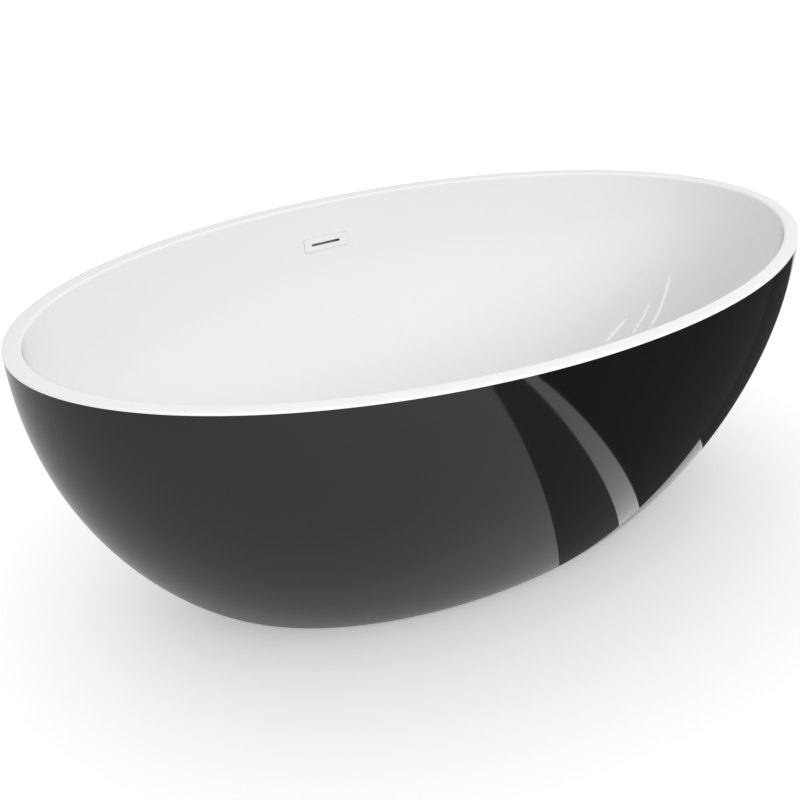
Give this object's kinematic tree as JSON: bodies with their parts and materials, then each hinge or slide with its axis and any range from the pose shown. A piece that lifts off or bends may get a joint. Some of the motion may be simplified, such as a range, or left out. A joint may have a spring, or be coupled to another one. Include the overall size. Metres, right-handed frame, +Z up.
{
  "type": "freestanding bathtub",
  "caption": "Freestanding oval bathtub: white basin in a black outer skirt, slotted overflow, pop-up plug, trap, steel frame and screw feet.",
  "frame": {"origin": "middle of the footprint, on the floor under the feet", "axes": "+Z up, +X along the length, +Y towards the side with the overflow"},
  "size_m": [1.7, 1.01, 0.58],
  "materials": {
    "black_acrylic": "high gloss",
    "white_acrylic": "high gloss",
    "white_plastic": "gloss",
    "glue": "matte",
    "plywood": "raw",
    "black_steel": "satin powder coat",
    "zinc_steel": "zinc plated",
    "black_rubber": "matte",
    "chrome": "polished",
    "brass": "machined",
    "spring_steel": "drawn wire",
    "grey_plastic": "moulded",
    "hose_plastic": "moulded"
  },
  "bodies": {
    "tub": {"base_board": "plywood", "board_screws": "zinc_steel", "bracket_bolts": "zinc_steel", "flange_screws": "zinc_steel", "frame_crossbar_1": "black_steel", "frame_crossbar_2": "black_steel", "frame_crossbar_3": "black_steel", "frame_crossbar_4": "black_steel", "frame_rail_far": "black_steel", "frame_rail_near": "black_steel", "frame_tabs": "black_steel", "hose_clips": "zinc_steel", "inner_shell": "white_acrylic", "lock_nuts": "zinc_steel", "outer_shell": "black_acrylic", "overflow_cover": "white_plastic", "overflow_gasket": "black_rubber", "overflow_hose": "hose_plastic", "overflow_housing": "grey_plastic", "plug_cartridge": "brass", "plug_spring": "spring_steel", "rim_adhesive": "glue", "skirt_bracket_1": "black_steel", "skirt_bracket_2": "black_steel", "skirt_bracket_3": "black_steel", "skirt_bracket_4": "black_steel", "tail_nut": "grey_plastic", "tail_seal": "black_rubber", "trap_bend": "grey_plastic", "trap_nut": "grey_plastic", "trap_seal": "black_rubber", "waste_body": "grey_plastic", "waste_flange": "chrome", "waste_gasket": "black_rubber", "waste_tail": "grey_plastic", "waste_washer": "black_rubber", "weld_nuts": "black_steel"},
    "plug": {"plug_cap": "chrome", "plug_seal": "black_rubber", "plug_stem": "brass"},
    "foot_1_pad": {"foot_1_pad": "black_rubber"},
    "foot_1_stud": {"foot_1_stud": "zinc_steel"},
    "foot_2_pad": {"foot_2_pad": "black_rubber"},
    "foot_2_stud": {"foot_2_stud": "zinc_steel"},
    "foot_3_pad": {"foot_3_pad": "black_rubber"},
    "foot_3_stud": {"foot_3_stud": "zinc_steel"},
    "foot_4_pad": {"foot_4_pad": "black_rubber"},
    "foot_4_stud": {"foot_4_stud": "zinc_steel"},
    "foot_5_pad": {"foot_5_pad": "black_rubber"},
    "foot_5_stud": {"foot_5_stud": "zinc_steel"}
  },
  "joints": [
    {"name": "plug_lift", "type": "slide", "parent": "tub", "child": "plug", "axis": [0, 0, 1], "range_m": [0, 0.01], "deforming": ["plug_spring"]},
    {"name": "foot_1_height", "type": "slide", "parent": "tub", "child": "foot_1_pad", "axis": [0, 0, -1], "range_m": [-0.004, 0.02]},
    {"name": "foot_1_turn", "type": "hinge", "parent": "foot_1_pad", "child": "foot_1_stud", "pos_m": [-0.33, -0.14, 0.01], "axis": [0, 0, -1], "range_deg": [-823, 4115]},
    {"name": "foot_2_height", "type": "slide", "parent": "tub", "child": "foot_2_pad", "axis": [0, 0, -1], "range_m": [-0.004, 0.02]},
    {"name": "foot_2_turn", "type": "hinge", "parent": "foot_2_pad", "child": "foot_2_stud", "pos_m": [0.33, -0.14, 0.01], "axis": [0, 0, -1], "range_deg": [-823, 4115]},
    {"name": "foot_3_height", "type": "slide", "parent": "tub", "child": "foot_3_pad", "axis": [0, 0, -1], "range_m": [-0.004, 0.02]},
    {"name": "foot_3_turn", "type": "hinge", "parent": "foot_3_pad", "child": "foot_3_stud", "pos_m": [-0.33, 0.14, 0.01], "axis": [0, 0, -1], "range_deg": [-823, 4115]},
    {"name": "foot_4_height", "type": "slide", "parent": "tub", "child": "foot_4_pad", "axis": [0, 0, -1], "range_m": [-0.004, 0.02]},
    {"name": "foot_4_turn", "type": "hinge", "parent": "foot_4_pad", "child": "foot_4_stud", "pos_m": [0.33, 0.14, 0.01], "axis": [0, 0, -1], "range_deg": [-823, 4115]},
    {"name": "foot_5_height", "type": "slide", "parent": "tub", "child": "foot_5_pad", "axis": [0, 0, -1], "range_m": [-0.004, 0.02]},
    {"name": "foot_5_turn", "type": "hinge", "parent": "foot_5_pad", "child": "foot_5_stud", "pos_m": [0.175, 0, 0.01], "axis": [0, 0, -1], "range_deg": [-823, 4115]}
  ],
  "couplings": [
    {"joint": "foot_1_turn", "follows": "foot_1_height", "rad_per_m": 3590.4},
    {"joint": "foot_2_turn", "follows": "foot_2_height", "rad_per_m": 3590.4},
    {"joint": "foot_3_turn", "follows": "foot_3_height", "rad_per_m": 3590.4},
    {"joint": "foot_4_turn", "follows": "foot_4_height", "rad_per_m": 3590.4},
    {"joint": "foot_5_turn", "follows": "foot_5_height", "rad_per_m": 3590.4}
  ]
}
